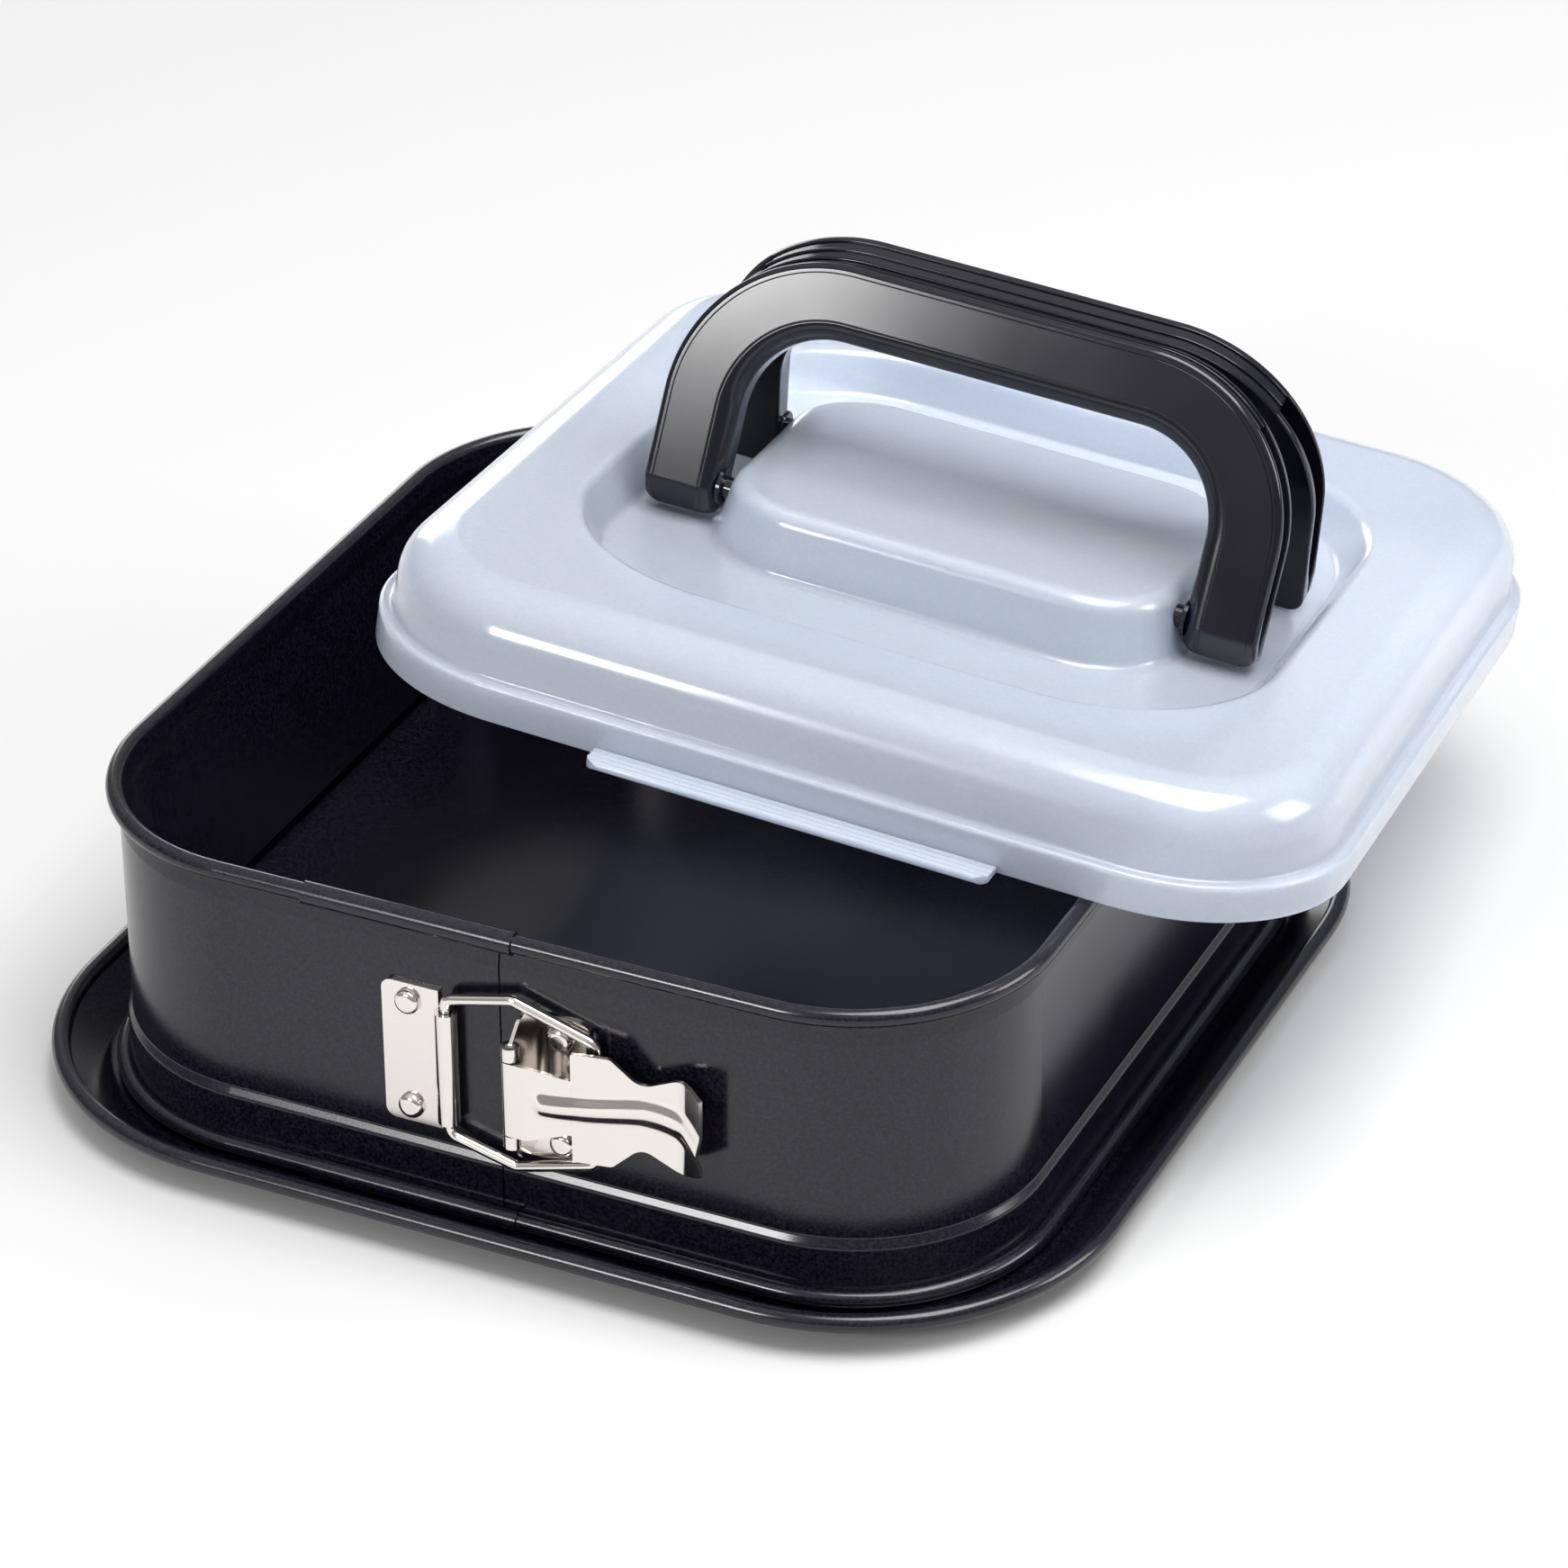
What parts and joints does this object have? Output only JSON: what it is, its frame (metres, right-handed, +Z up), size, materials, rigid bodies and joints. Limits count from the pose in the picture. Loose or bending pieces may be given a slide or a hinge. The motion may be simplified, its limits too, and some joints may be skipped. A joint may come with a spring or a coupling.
{
  "type": "springform pan with cover",
  "caption": "Square springform baking pan: a clasped steel ring on a flanged base, with a leaning plastic cover that has folding carry handles.",
  "frame": {"origin": "centre of the pan's base, on the plane that the base stands on", "axes": "+Z up, -Y towards the side with the clasp, +X to the right along that side"},
  "size_m": [0.2808, 0.3052, 0.1565],
  "materials": {
    "non_stick_coating": "dark satin non-stick coating with a fine speckle",
    "steel_wire": "drawn wire",
    "nickel_plate": "bright nickel plate",
    "frosted_plastic": "translucent frosted polypropylene",
    "black_plastic": "satin black"
  },
  "bodies": {
    "base": {"base_tray": "non_stick_coating", "base_wire": "steel_wire"},
    "ring": {"ring_band": "non_stick_coating", "rim_wire": "steel_wire", "foot_wire": "steel_wire", "catch_plate": "nickel_plate", "catch_rivets": "nickel_plate", "lever_bracket": "nickel_plate", "bracket_rivets": "nickel_plate", "lever_pin": "steel_wire"},
    "lever": {"clasp_lever": "nickel_plate"},
    "bail": {"bail_wire": "nickel_plate"},
    "cover": {"lid_shell": "frosted_plastic"},
    "front_handle": {"front_handle": "black_plastic"},
    "rear_handle": {"rear_handle": "black_plastic"}
  },
  "joints": [
    {"name": "ring_lift", "type": "slide", "parent": "base", "child": "ring", "axis": [0, 0, 1], "range_m": [0, 0.12]},
    {"name": "lever_swing", "type": "hinge", "parent": "ring", "child": "lever", "pos_m": [0.0083, -0.11635, 0.0403], "axis": [0, 0, -1], "range_deg": [0, 110]},
    {"name": "bail_swing", "type": "hinge", "parent": "ring", "child": "bail", "pos_m": [-0.0098, -0.1109, 0.0394], "axis": [0, 0, -1], "range_deg": [0, 55.2]},
    {"name": "cover_lift", "type": "slide", "parent": "ring", "child": "cover", "axis": [0, 0, 1], "range_m": [0, 0.15]},
    {"name": "front_handle_fold", "type": "hinge", "parent": "cover", "child": "front_handle", "pos_m": [0.03949, 0.04405, 0.09848], "axis": [0.992, 0.0637, -0.1087], "range_deg": [0, 101]},
    {"name": "rear_handle_fold", "type": "hinge", "parent": "cover", "child": "rear_handle", "pos_m": [0.03643, 0.08386, 0.09384], "axis": [-0.992, -0.0637, 0.1087], "range_deg": [0, 101]}
  ],
  "couplings": [
    {"joint": "bail_swing", "follows": "lever_swing", "ratio": 0.5}
  ]
}
